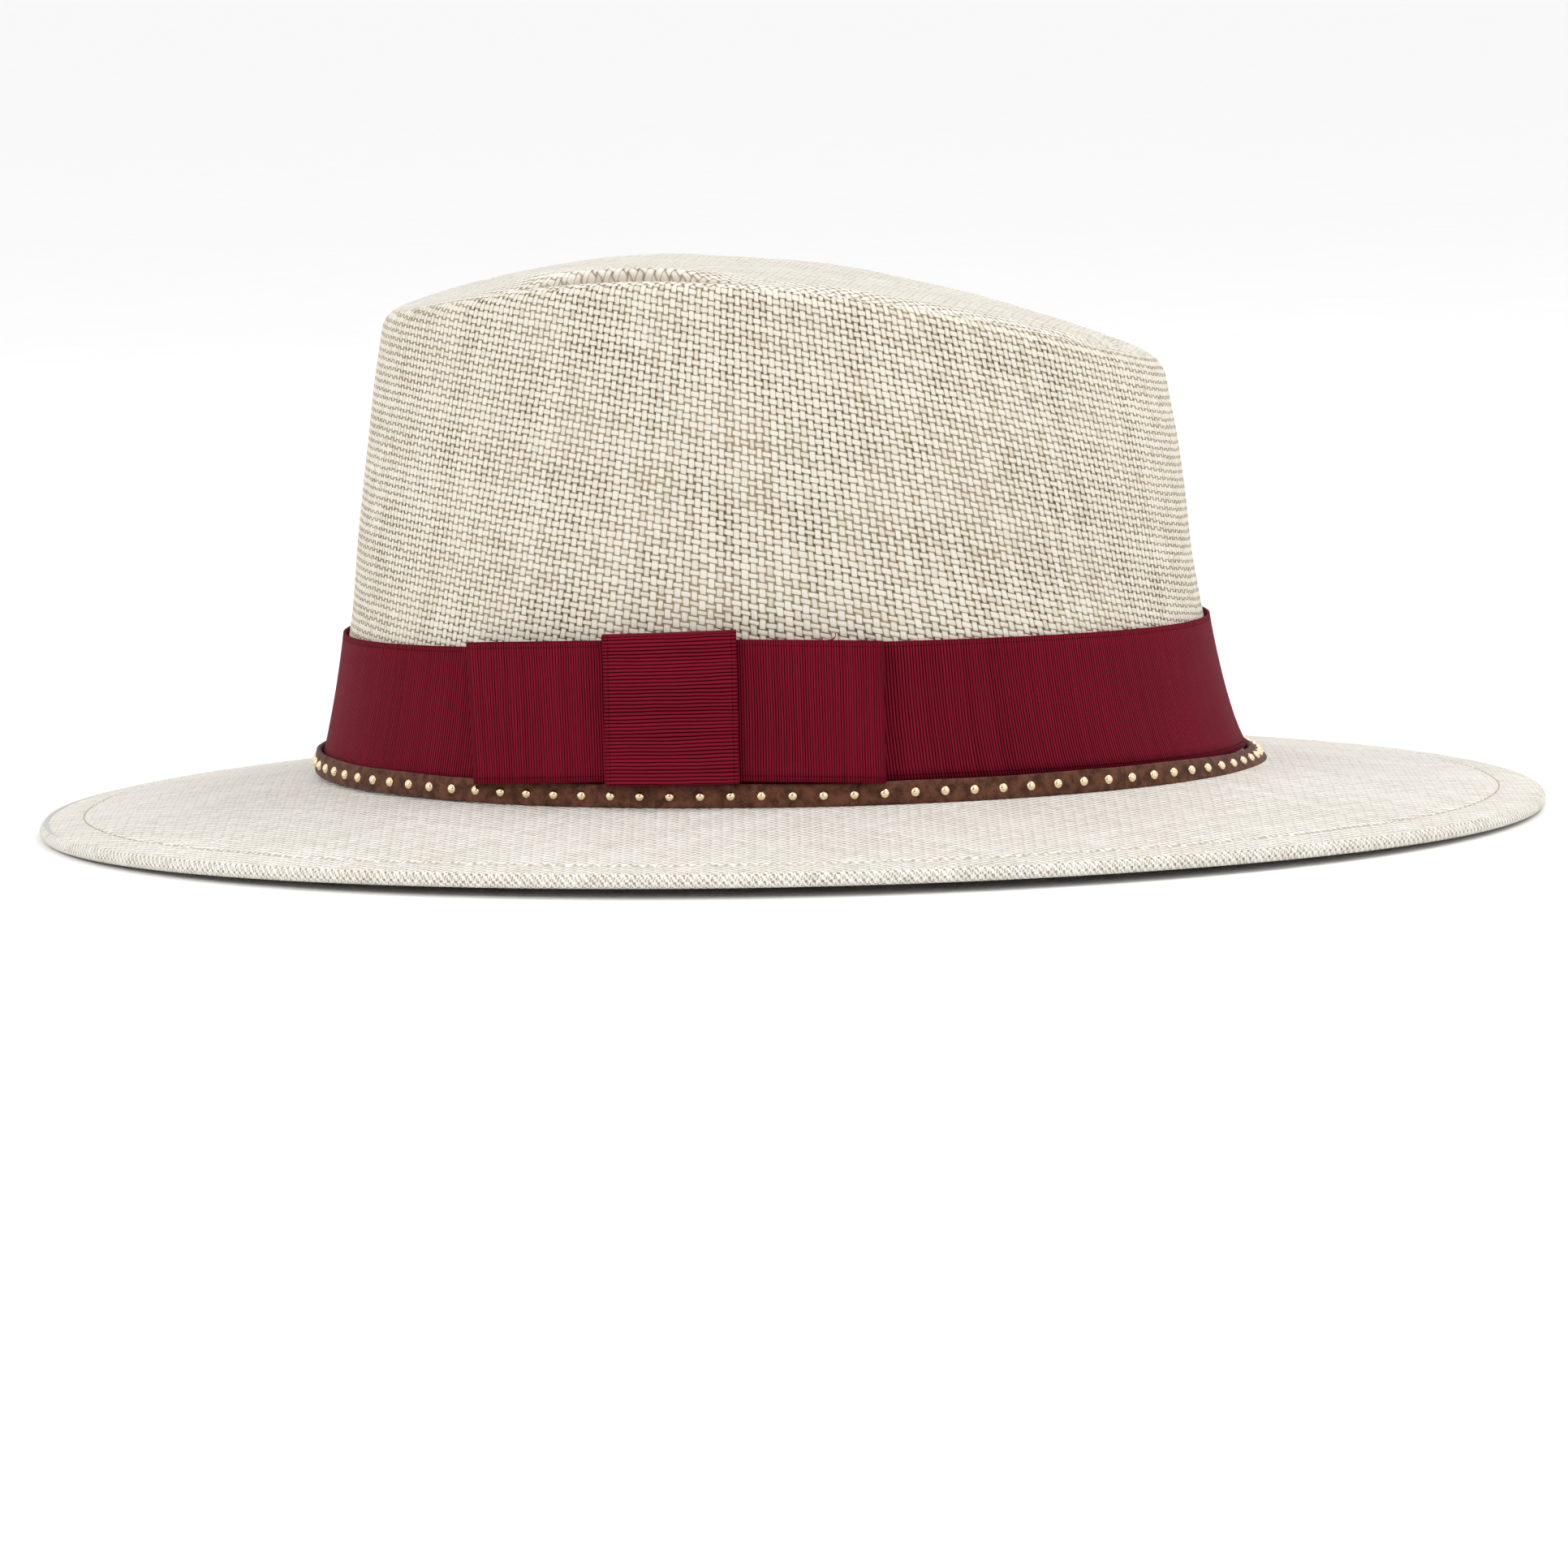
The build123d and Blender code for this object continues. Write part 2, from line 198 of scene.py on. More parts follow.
def straw_weave_group():
    """Plain weave of flat straw strips. The pattern's unit is one strip, and U runs across the warp."""
    tree, source, result = new_group(
        "straw_weave",
        {"Cells": None, "Warp Half Width": 0.38, "Weft Half Width": 0.33},
        {"Tone And Painted Shade": "NodeSocketFloat", "Height": "NodeSocketFloat", "Gap": "NodeSocketFloat"},
    )
    g = Graph(tree)
    cells = source.outputs["Cells"]
    wander = g.noise(cells, 0.35, 1.0, "Color")
    wander = g.node("ShaderNodeVectorMath", {0: wander, 1: (0.5, 0.5, 0.5)}, operation="SUBTRACT")
    wander = g.node("ShaderNodeVectorMath", {0: wander.outputs[0], "Scale": 0.34}, operation="SCALE")
    moved = g.node("ShaderNodeVectorMath", {0: cells, 1: wander.outputs[0]}, operation="ADD")
    split = g.node("ShaderNodeSeparateXYZ", {0: moved.outputs[0]})
    strips = []
    for axis, other, width in ((0, 1, "Warp Half Width"), (1, 0, "Weft Half Width")):
        along = split.outputs[axis]
        index = g.math("FLOOR", along)
        across = g.math("SUBTRACT", g.math("SUBTRACT", along, index), 0.5)
        chance = g.random(g.math("ADD", index, 0.5 + 400 * axis))
        slow = g.noise(g.combine(g.math("MULTIPLY", index, 3.7), g.math("MULTIPLY", split.outputs[other], 0.22),
                                 7.0 * axis), 1.0, 1.0)
        widened = g.math("ADD", g.math("MULTIPLY", g.math("SUBTRACT", chance, 0.5), 0.07),
                         g.math("MULTIPLY", g.math("SUBTRACT", slow, 0.5), 0.22))
        half = g.math("ADD", source.outputs[width], widened)
        inside = g.math("SUBTRACT", half, g.math("ABSOLUTE", across))
        mask = g.ramp(inside, -0.03, 0.05)
        strips.append({"index": index, "across": across, "chance": chance, "slow": slow, "mask": mask,
                       "round": g.math("MULTIPLY", g.math("POWER", g.math("DIVIDE", across, half), 2.0), 0.2)})
    warp, weft = strips
    parity = g.math("FLOORED_MODULO", g.math("ADD", warp["index"], weft["index"]), 2.0)
    heights = []
    for strip, other, upper in ((warp, weft, parity), (weft, warp, g.math("SUBTRACT", 1.0, parity))):
        reach = g.math("MULTIPLY", g.math("ABSOLUTE", other["across"]), 2.0)
        over = g.math("SUBTRACT", 0.95, g.math("MULTIPLY", g.math("POWER", reach, 2.0), 0.2))
        under = g.ramp(reach, 0.6, 1.0, 0.12, 0.75)
        level = g.math("ADD", under, g.math("MULTIPLY", upper, g.math("SUBTRACT", over, under)))
        heights.append(g.math("MULTIPLY", strip["mask"], g.math("SUBTRACT", level, strip["round"])))
    warp_on_top = g.math("GREATER_THAN", heights[0], heights[1])
    weft_on_top = g.math("SUBTRACT", 1.0, warp_on_top)
    height = g.math("MAXIMUM", heights[0], heights[1])
    gap = g.math("SUBTRACT", 1.0, g.math("MAXIMUM", warp["mask"], weft["mask"]), clamp=True)
    u, v = split.outputs[0], split.outputs[1]
    fibre_warp = g.noise(g.combine(g.math("MULTIPLY", u, 7.0), g.math("MULTIPLY", v, 0.5)), 1.0, 2.0)
    fibre_weft = g.noise(g.combine(g.math("MULTIPLY", u, 0.5), g.math("MULTIPLY", v, 7.0), 5.0), 1.0, 2.0)
    fibre = g.math("ADD", g.math("MULTIPLY", fibre_warp, warp_on_top),
                   g.math("MULTIPLY", fibre_weft, weft_on_top))
    chance = g.math("ADD", g.math("MULTIPLY", warp["chance"], warp_on_top),
                    g.math("MULTIPLY", weft["chance"], weft_on_top))
    tone = g.math("ADD", g.math("MULTIPLY", g.math("SUBTRACT", fibre, 0.5), 0.55),
                  g.math("MULTIPLY", g.math("SUBTRACT", chance, 0.5), 0.14))
    # painted shade: the tone darkens where a strip dips under its neighbours, beside the real fibre and random
    # tone
    tone = g.math("ADD", tone, g.ramp(height, 0.38, 0.88, -0.5, 0.14))
    crossing = g.node("ShaderNodeTexWhiteNoise", noise_dimensions="2D")
    g.feed(crossing.inputs["Vector"], g.combine(warp["index"], weft["index"]))
    spread = g.math("SUBTRACT", crossing.outputs["Value"], 0.5)
    tone = g.math("ADD", tone, g.math("MULTIPLY", spread, 0.2))
    relief = g.math("ADD", height, g.math("MULTIPLY", g.math("SUBTRACT", fibre, 0.5), 0.10))
    g.feed(result.inputs["Tone And Painted Shade"], tone)
    g.feed(result.inputs["Height"], relief)
    g.feed(result.inputs["Gap"], gap)
    return tree


def straw_cloth():
    material, g, shader = new_material("straw_cloth", Specular_IOR_Level=0.12)
    cells = g.node("ShaderNodeUVMap", uv_map="weave").outputs[0]
    weave = g.node("ShaderNodeGroup", {"Cells": cells}, node_tree=GROUPS["straw_weave"])
    place = g.node("ShaderNodeTexCoord").outputs["Object"]
    patches = g.noise(place, 28.0, 3.0)
    openness = g.node("ShaderNodeAttribute", attribute_name="openness").outputs["Fac"]
    depth = g.math("ADD", 0.30, g.math("MULTIPLY", openness, 0.70))
    tone = g.math("MULTIPLY", weave.outputs["Tone And Painted Shade"], depth)
    tone = g.math("ADD", tone, g.math("MULTIPLY", g.math("SUBTRACT", patches, 0.5), 0.14))
    light = g.mix(g.math("MULTIPLY", openness, openness), (0.92, 0.908, 0.87, 1), (0.795, 0.752, 0.655, 1))
    colour = g.mix(g.ramp(tone, -0.6, 0.3), (0.44, 0.37, 0.265, 1), light)
    # the weave's gaps are painted dark tan for the hat's inside seen through them: partly the straw's own
    # colour, partly painted shade
    behind = g.ramp(g.noise(place, 60.0, 2.0), 0.35, 0.65)
    hole_shade = g.mix(behind, (0.12, 0.075, 0.032, 1), (0.34, 0.25, 0.135, 1))
    colour = g.mix(g.math("MULTIPLY", weave.outputs["Gap"], openness), colour, hole_shade)
    # painted shade: a tan darkening laid along the crease near the rim, where crease_shade marks it
    crease = g.node("ShaderNodeAttribute", attribute_name="crease").outputs["Fac"]
    colour = g.mix(g.math("MULTIPLY", crease, 0.8), colour, (0.38, 0.28, 0.16, 1))
    g.feed(shader.inputs["Base Color"], colour)
    g.feed(shader.inputs["Roughness"], g.ramp(weave.outputs["Gap"], 0.0, 1.0, 0.6, 0.95))
    add_bump(g, shader, weave.outputs["Height"], 0.9, 0.0004)
    return material


# ---- ribbon, strap, metal and the rest -----------------------------------------------------------

def grosgrain_group():
    """Ribs across a ribbon. The pattern's unit is one millimetre: U along the ribbon, V across it."""
    tree, source, result = new_group(
        "grosgrain",
        {"Place": None, "Pitch": 0.66, "Width": 31.2, "Selvage": 1.2},
        {"Tone And Painted Shade": "NodeSocketFloat", "Height": "NodeSocketFloat"},
    )
    g = Graph(tree)
    split = g.node("ShaderNodeSeparateXYZ", {0: source.outputs["Place"]})
    u, v = split.outputs[0], split.outputs[1]
    drift = g.noise(g.combine(g.math("MULTIPLY", u, 0.12), g.math("MULTIPLY", v, 0.05)), 1.0, 2.0)
    drift = g.math("MULTIPLY", g.math("SUBTRACT", drift, 0.5), 0.9)
    rib_place = g.math("DIVIDE", g.math("ADD", u, drift), source.outputs["Pitch"])
    index = g.math("FLOOR", rib_place)
    rib = g.math("SINE", g.math("MULTIPLY", g.math("FRACT", rib_place), pi))
    rib = g.math("POWER", rib, 0.9)
    chance = g.random(g.math("ADD", index, 0.5))
    cross = g.math("SINE", g.math("MULTIPLY", g.math("ADD", v, g.math("MULTIPLY", index, 0.21)), 2 * pi / 0.42))
    near_edge = g.math("MINIMUM", v, g.math("SUBTRACT", source.outputs["Width"], v))
    selvage = g.ramp(g.math("SUBTRACT", near_edge, source.outputs["Selvage"]), -0.12, 0.12, 1.0, 0.0)
    off_line = g.math("ABSOLUTE", g.math("SUBTRACT", near_edge, source.outputs["Selvage"]))
    line = g.ramp(off_line, 0.0, 0.25, -0.5, 0.0)
    threads = g.math("SINE", g.math("MULTIPLY", u, 2 * pi / 0.33))
    height = g.math("ADD", g.math("MULTIPLY", rib, g.ramp(selvage, 0.0, 1.0, 1.0, 0.45)),
                    g.math("MULTIPLY", threads, g.math("MULTIPLY", selvage, 0.18)))
    height = g.math("ADD", g.math("ADD", height, g.math("MULTIPLY", cross, 0.07)), g.math("MULTIPLY", line, 0.6))
    # painted shade: the tone darkens in the grooves between the ribs and follows the cross threads' relief,
    # beside the real random tone per rib
    tone = g.math("ADD", g.ramp(rib, 0.15, 0.95, -0.5, 0.25),
                  g.math("MULTIPLY", g.math("SUBTRACT", chance, 0.5), 0.16))
    tone = g.math("ADD", g.math("ADD", tone, g.math("MULTIPLY", cross, 0.10)), g.math("MULTIPLY", line, 0.5))
    g.feed(result.inputs["Tone And Painted Shade"], tone)
    g.feed(result.inputs["Height"], height)
    return tree


def ribbon_cloth(name, pitch=0.66, width=31.2):
    material, g, shader = new_material(
        name, Specular_IOR_Level=0.02, Sheen_Weight=0.02, Sheen_Roughness=0.5, Sheen_Tint=(0.9, 0.15, 0.25, 1))
    place = g.node("ShaderNodeUVMap", uv_map="weave").outputs[0]
    cloth = g.node("ShaderNodeGroup", {"Place": place, "Pitch": pitch, "Width": width},
                   node_tree=GROUPS["grosgrain"])
    spot = g.node("ShaderNodeTexCoord").outputs["Object"]
    fade = g.math("MULTIPLY", g.math("SUBTRACT", g.noise(spot, 35.0, 3.0), 0.5), 0.35)
    tone = g.math("ADD", cloth.outputs["Tone And Painted Shade"], fade)
    colour = g.mix(g.ramp(tone, -0.5, 0.3), (0.020, 0.0008, 0.0024, 1), (0.214, 0.0084, 0.0242, 1))
    g.feed(shader.inputs["Base Color"], colour)
    g.feed(shader.inputs["Roughness"], g.ramp(cloth.outputs["Height"], 0.0, 1.0, 0.68, 0.5))
    add_bump(g, shader, cloth.outputs["Height"], 0.7, 0.00024)
    return material


def suede():
    material, g, shader = new_material("suede", Specular_IOR_Level=0.15, Sheen_Weight=0.08, Sheen_Roughness=0.5)
    place = g.node("ShaderNodeTexCoord").outputs["Object"]
    nap = g.noise(place, 420.0, 4.0)
    fibres = g.noise(place, 1900.0, 3.0)
    tone = g.math("ADD", g.math("MULTIPLY", nap, 0.65), g.math("MULTIPLY", fibres, 0.35))
    colour = g.mix(g.ramp(tone, 0.32, 0.68), (0.044, 0.016, 0.009, 1), (0.150, 0.058, 0.034, 1))
    g.feed(shader.inputs["Base Color"], colour)
    g.feed(shader.inputs["Roughness"], g.ramp(fibres, 0.3, 0.7, 0.82, 0.96))
    add_bump(g, shader, tone, 0.7, 0.00025)
    return material


def gilt_brass():
    material, g, shader = new_material("gilt_brass", Metallic=1.0)
    place = g.node("ShaderNodeTexCoord").outputs["Object"]
    haze = g.noise(place, 900.0, 3.0)
    g.feed(shader.inputs["Base Color"], g.mix(haze, (0.95, 0.80, 0.54, 1), (0.90, 0.72, 0.44, 1)))
    g.feed(shader.inputs["Roughness"], g.ramp(haze, 0.3, 0.7, 0.10, 0.24))
    return material


def twisted_thread(name, dark, light):
    material, g, shader = new_material(name, Roughness=0.85, Specular_IOR_Level=0.1, Sheen_Weight=0.03)
    place = g.node("ShaderNodeTexCoord").outputs["Object"]
    strand = g.noise(place, 1500.0, 2.0)
    g.feed(shader.inputs["Base Color"], g.mix(strand, dark, light))
    add_bump(g, shader, strand, 0.5, 0.0001)
    return material


def spring_wire():
    material, g, shader = new_material("spring_wire", Metallic=1.0)
    place = g.node("ShaderNodeTexCoord").outputs["Object"]
    drawn = g.noise(place, 700.0, 3.0)
    g.feed(shader.inputs["Base Color"], g.mix(drawn, (0.42, 0.42, 0.43, 1), (0.6, 0.6, 0.61, 1)))
    g.feed(shader.inputs["Roughness"], g.ramp(drawn, 0.3, 0.7, 0.3, 0.45))
    return material


def sweatband_cotton():
    material, g, shader = new_material("sweatband_cotton", Sheen_Weight=0.15)
    place = g.node("ShaderNodeUVMap", uv_map="weave").outputs[0]
    cloth = g.node("ShaderNodeGroup", {"Place": place, "Pitch": 0.9, "Width": 32.0},
                   node_tree=GROUPS["grosgrain"])
    colour = g.mix(g.ramp(cloth.outputs["Tone And Painted Shade"], -0.6, 0.5), (0.42, 0.35, 0.25, 1), (0.70, 0.63, 0.51, 1))
    g.feed(shader.inputs["Base Color"], colour)
    g.feed(shader.inputs["Roughness"], g.ramp(cloth.outputs["Height"], 0.0, 1.0, 0.9, 0.75))
    add_bump(g, shader, cloth.outputs["Height"], 0.5, 0.0003)
    return material


def label_satin():
    material, g, shader = new_material("label_satin", Sheen_Weight=0.2)
    place = g.node("ShaderNodeTexCoord").outputs["Object"]
    threads = g.node("ShaderNodeTexWave", {"Vector": place, "Scale": 900.0, "Distortion": 0.6})
    g.feed(shader.inputs["Base Color"], g.mix(threads.outputs[1], (0.74, 0.71, 0.64, 1), (0.84, 0.82, 0.77, 1)))
    g.feed(shader.inputs["Roughness"], g.ramp(threads.outputs[1], 0.0, 1.0, 0.45, 0.6))
    add_bump(g, shader, threads.outputs[1], 0.3, 0.0001)
    return material


def floor_paper():
    material, g, shader = new_material("floor_paper", Roughness=0.9, Specular_IOR_Level=0.1)
    place = g.node("ShaderNodeTexCoord").outputs["Object"]
    grain = g.noise(place, 30.0, 2.0)
    g.feed(shader.inputs["Base Color"], g.mix(grain, (0.95, 0.95, 0.95, 1), (0.98, 0.98, 0.98, 1)))
    return material


# ---- mesh helpers ------------------------------------------------------------------------------

def mesh_object(name, bm):
    mesh = bpy.data.meshes.new(name)
    bm.to_mesh(mesh)
    bm.free()
    for face in mesh.polygons:
        face.use_smooth = True
    piece = bpy.data.objects.new(name, mesh)
    bpy.context.scene.collection.objects.link(piece)
    return piece


def finish_piece(piece, material, slot, *replaced):
    piece.data.materials.append(material)
    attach(piece, "root")
    if replaced:
        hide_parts(*replaced)
    return piece


def add_wall(piece, thickness):
    """Thickens a surface to its inner side."""
    solid = piece.modifiers.new("thickness", "SOLIDIFY")
    solid.thickness = thickness * MM
    solid.offset = -1
    solid.use_even_offset = False
    return piece


def spun_rings(first, count, steps):
    """Flat rings round the Z axis, ring i with radius i, ready to be placed by a shape."""
    bm = bmesh.new()
    spoke = [bm.verts.new((float(first + i), 0, 0)) for i in range(count)]
    edges = [bm.edges.new(pair) for pair in zip(spoke, spoke[1:])]
    bmesh.ops.spin(bm, geom=spoke + edges, cent=(0, 0, 0), axis=(0, 0, 1), angle=2 * pi, steps=steps,
                   use_merge=True)
    bmesh.ops.remove_doubles(bm, verts=bm.verts, dist=1e-4)
    bm.normal_update()
    bmesh.ops.reverse_faces(bm, faces=[face for face in bm.faces if face.normal.z < 0])
    return bm


def place_rings(bm, shape, mapping, masks):
    """Moves each ring's points to shape(ring, turn), and lays mapping(turn, point, ring) as the UV map."""
    uv = bm.loops.layers.uv.new("weave")
    values = {title: bm.verts.layers.float.new(title) for title in masks}
    where = {}
    for vert in bm.verts:
        ring = hypot(vert.co.x, vert.co.y)
        where[vert] = (ring, atan2(vert.co.x, -vert.co.y) if ring > 0.5 else None)
    for vert, (ring, turn) in where.items():
        vert.co = Vector(shape(ring, turn or 0.0)) * MM
        for title, layer in values.items():
            vert[layer] = masks[title](ring, turn or 0.0)
    for face in bm.faces:
        rings = [where[vert][0] for vert in face.verts]
        turns = [where[vert][1] for vert in face.verts]
        known = [turn for turn in turns if turn is not None]
        wraps = max(known) - min(known) > pi
        known = [turn + 2 * pi if wraps and turn < 0 else turn for turn in known]
        middle = sum(known) / len(known)
        for loop, turn in zip(face.loops, turns):
            turn = middle if turn is None else turn
            turn = turn + 2 * pi if wraps and turn < 0 else turn
            loop[uv].uv = mapping(turn, loop.vert.co / MM, sum(rings) / len(rings))


def strip(columns, rows):
    """A flat strip, columns along X from 0 to 1 and rows along Y from 0 to 1."""
    bm = bmesh.new()
    bmesh.ops.create_grid(bm, x_segments=columns, y_segments=rows, size=0.5)
    bmesh.ops.translate(bm, verts=bm.verts, vec=(0.5, 0.5, 0))
    return bm


def place_strip(bm, shape, length, width, closed=False, reverse=False):
    """Moves a strip's points to shape(along, across); the UV map holds millimetres along and across."""
    uv = bm.loops.layers.uv.new("weave")
    for face in bm.faces:
        for loop in face.loops:
            loop[uv].uv = (loop.vert.co.x * length, loop.vert.co.y * width)
    if reverse:
        bmesh.ops.reverse_faces(bm, faces=bm.faces)
    for vert in bm.verts:
        vert.co = Vector(shape(vert.co.x, vert.co.y)) * MM
    if closed:
        bmesh.ops.remove_doubles(bm, verts=bm.verts, dist=0.00001)


# ---- the hat's shape ---------------------------------------------------------------------------

BODY_LOW, BODY_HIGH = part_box("straw_body")
BRIM_HALF_LENGTH = (BODY_HIGH.y - BODY_LOW.y) / 2 / MM
BRIM_HALF_WIDTH = (BODY_HIGH.x - BODY_LOW.x) / 2 / MM
BREAK = 11.0                   # height of the brim at the crown's foot
CLOTH = 1.0
FOLD = 1.65                    # outer radius of the rolled edge
FOLD_HALF_LENGTH = BRIM_HALF_LENGTH - FOLD
FOLD_HALF_WIDTH = BRIM_HALF_WIDTH - FOLD
EDGE_LIFTS = (-1.45, 0.8, -1.0, -0.65)  # of the brim's edge: front, bow's side, back, other side
HEM = 11.0
HEM_STITCH = 9.6
FOOT = 3.0                     # radius between crown and brim

# Ovals of the crown: height above the break, reach to the front, reach to the back, half width.
OVALS = [
    (-6.0, 111.3, 109.2, 95.2),
    (0.0, 110.0, 107.0, 93.8),
    (9.0, 108.2, 103.6, 91.4),
    (24.0, 105.4, 100.0, 88.6),
    (41.0, 102.6, 96.8, 86.0),
    (68.0, 99.8, 93.4, 82.5),
    (87.0, 97.2, 90.6, 80.0),
    (126.0, 90.5, 83.0, 73.0),
    (150.0, 86.0, 78.0, 69.0),
]


def oval_at(rise):
    """Front reach, back reach and half width at a height above the break, on a smooth curve."""
    rise = min(max(rise, OVALS[1][0]), OVALS[-2][0] - 0.001)
    k = next(i for i in range(1, len(OVALS) - 2) if OVALS[i + 1][0] > rise)
    before, low, high, after = OVALS[k - 1:k + 3]
    span = high[0] - low[0]
    t = (rise - low[0]) / span
    out = []
    for j in (1, 2, 3):
        start = (high[j] - before[j]) / (high[0] - before[0]) * span
        end = (after[j] - low[j]) / (after[0] - low[0]) * span
        out.append((2 * t**3 - 3 * t**2 + 1) * low[j] + (t**3 - 2 * t**2 + t) * start
                   + (3 * t**2 - 2 * t**3) * high[j] + (t**3 - t**2) * end)
    return out


def on_oval(rise, turn, offset=0.0):
    """A point of the crown's wall: turn 0 is the front and a quarter turn is the bow's side."""
    front, back, half_width = oval_at(rise)
    half_length = (front + back) / 2
    centre = (back - front) / 2
    normal = Vector((sin(turn) / half_width, -cos(turn) / half_length)).normalized()
    x = half_width * sin(turn) + offset * normal.x
    y = centre - half_length * cos(turn) + offset * normal.y
    return x, y


def smooth_step(t):
    t = min(max(t, 0.0), 1.0)
    return t * t * (3 - 2 * t)


RIM_PEAK = BREAK + 118.0       # highest place of the crown's upper edge
RIM_PEAK_Y = -30.0
RIM_FRONT_DROP = 8.2           # from the peak to the front end
RIM_BACK_DROP = 21.4           # and to the back end


def rim_height(y):
    run = y - RIM_PEAK_Y
    if run < 0:
        return RIM_PEAK - RIM_FRONT_DROP * (run / 60.0) ** 2
    return RIM_PEAK - RIM_BACK_DROP * (run / 112.0) ** 1.75


def rim_round(turn):
    """Radius of the crown's upper edge: wide at the back, tighter at the front and the sides."""
    return 4.0 + 1.8 * max(cos(turn), 0.0) ** 2 + 4.5 * max(-cos(turn), 0.0) ** 3


def rim_ridge(turn):
    """Height of the crown's upper edge by turn, before its rounding moves it inwards."""
    return rim_height(-2.0 - 84.0 * cos(turn))


def top_start(turn):
    """Where the rim's rounding meets the top surface, in plan."""
    radius = rim_round(turn)
    return on_oval(rim_ridge(turn) - radius - BREAK, turn, -radius)


def pinch(y):
    """How strongly the sides are pinched: most in the front third."""
    return exp(-((y + 36.0) / 26.0) ** 4)


def on_bow_side(turn):
    """From 0 on the far side to 1 on the bow's side."""
    return smooth_step(0.5 + 0.9 * sin(turn))


def top_height(inset, y, turn):
    """The top surface, inset being the distance from the rim: a crease, then a raised middle."""
    side = pinch(y)
    bow_side = on_bow_side(turn)
    back = smooth_step((y + 20.0) / 35.0)
    crease_at = 4.2 * side + 2.6 * (1 - side)
    crease_width = 1.5
    depth = (3.0 + 2.5 * bow_side) * side + 1.25 * back * (1 - side)
    ramp = 3.4 * side + (7.0 + 22.0 * (1 - back)) * (1 - side)
    rise = (0.7 + 2.1 * bow_side) * side + (1.0 + 0.4 * bow_side) * (1 - side)
    settle = 1 - 0.75 * side * bow_side * smooth_step((inset - 11.0) / 30.0)
    crease = depth * exp(-((inset - crease_at) / crease_width) ** 2) * smooth_step(inset / 1.2)
    island = rise * smooth_step((inset - crease_at * (side + back * (1 - side))) / ramp) * settle
    return rim_height(y) - crease + island


def crease_shade(ring, turn):
    """How much painted shade a ring's points take along the crease, from 0 to 1."""
    if not TOP_COARSE <= ring <= TOP_END:
        return 0.0
    inset = CREASE_ZONE * (TOP_END - ring) / TOP_FINE
    y = top_start(turn)[1]
    return pinch(y) * on_bow_side(turn) * 0.8 * exp(-((inset - 5.7) / 0.8) ** 2)


def openness(ring, turn):
    """How open the weave is: most on the wall, where blocking stretched the cloth."""
    if ring < TOP_END + 3:
        return 0.62
    if ring < WALL_END + 2:
        return 1.0 + 0.25 * exp(-((turn - 1.9) / 0.5) ** 2)
    return 0.5 if BRIM_END < ring < FOLD_END else 0.24


def unevenness(x, y, z, size=1.0):
    """Small dents left by blocking the cloth."""
    return size * noise.noise(Vector((x, y, z)) / 34.0) + 0.35 * size * noise.noise(Vector((y, z, x)) / 13.0)


TOP_FINE = 20                  # rings near the rim, 0.7 mm apart
TOP_COARSE = 20                # rings from there to the middle
RIM_RINGS = 7
WALL_RINGS = 34
FOOT_RINGS = 5
FOLD_RINGS = 9
FLAP_RINGS = 3
TURNS = 320
CREASE_ZONE = 0.7 * TOP_FINE
TOP_CENTRE_Y = -3.0            # where the top's rings close
RIM_SWEEP = radians(82)        # of the rounding between top and wall
FOOT_SWEEP = radians(83)       # and between wall and brim


def edge_lift(turn):
    """How far the brim's edge stands above or below its level, by blending EDGE_LIFTS."""
    front, bow_side, back, far_side = EDGE_LIFTS
    lengthways = front * max(cos(turn), 0.0) ** 4 + back * max(-cos(turn), 0.0) ** 4
    return lengthways + bow_side * max(sin(turn), 0.0) ** 2 + far_side * max(-sin(turn), 0.0) ** 2


def edge_point(turn, out, up):
    """A point near the rolled edge: out and up from the fold's centre."""
    normal = Vector((sin(turn) / FOLD_HALF_WIDTH, -cos(turn) / FOLD_HALF_LENGTH)).normalized()
    x = FOLD_HALF_WIDTH * sin(turn) + out * normal.x
    y = -FOLD_HALF_LENGTH * cos(turn) + out * normal.y
    return x, y, FOLD + edge_lift(turn) + up


STITCH_SHARE = 1 - HEM_STITCH / (FOLD_HALF_WIDTH - OVALS[1][3])
BRIM_SHARES = [STITCH_SHARE * i / 15 for i in range(15)]
BRIM_SHARES += [STITCH_SHARE + step for step in (-0.02, -0.008, 0.0, 0.008, 0.02, 0.07, 0.11)] + [1.0]
BRIM_RINGS = len(BRIM_SHARES) - 1
BRIM_SLOPE = atan((BREAK - 2 * FOLD) / (FOLD_HALF_WIDTH - OVALS[1][3]))
FLAP_SLOPE = BRIM_SLOPE + atan((2 * (FOLD - CLOTH) - 0.1) / HEM)
TOP_END = TOP_COARSE + TOP_FINE
RIM_END = TOP_END + RIM_RINGS
WALL_END = RIM_END + WALL_RINGS
FOOT_END = WALL_END + FOOT_RINGS
BRIM_END = FOOT_END + BRIM_RINGS
FOLD_END = BRIM_END + FOLD_RINGS
FLAP_END = FOLD_END + FLAP_RINGS


def brim_point(t, turn):
    """The brim's upper face, from the foot of the crown (t = 0) to the rolled edge (t = 1)."""
    x0, y0 = on_oval(0, turn, 0.83 * FOOT)
    x1, y1, z1 = edge_point(turn, FOLD * sin(BRIM_SLOPE), FOLD * cos(BRIM_SLOPE))
    z0 = BREAK + 0.02 * FOOT
    x, y = x0 + (x1 - x0) * t, y0 + (y1 - y0) * t
    z = z0 + (z1 - edge_lift(turn) - z0) * t + edge_lift(turn) * t * t
    groove = 0.4 * exp(-((t - STITCH_SHARE) / 0.009) ** 2)
    return x, y, z + 0.5 * t * (1 - t) * 4 * unevenness(x, y, z, 0.9) - groove


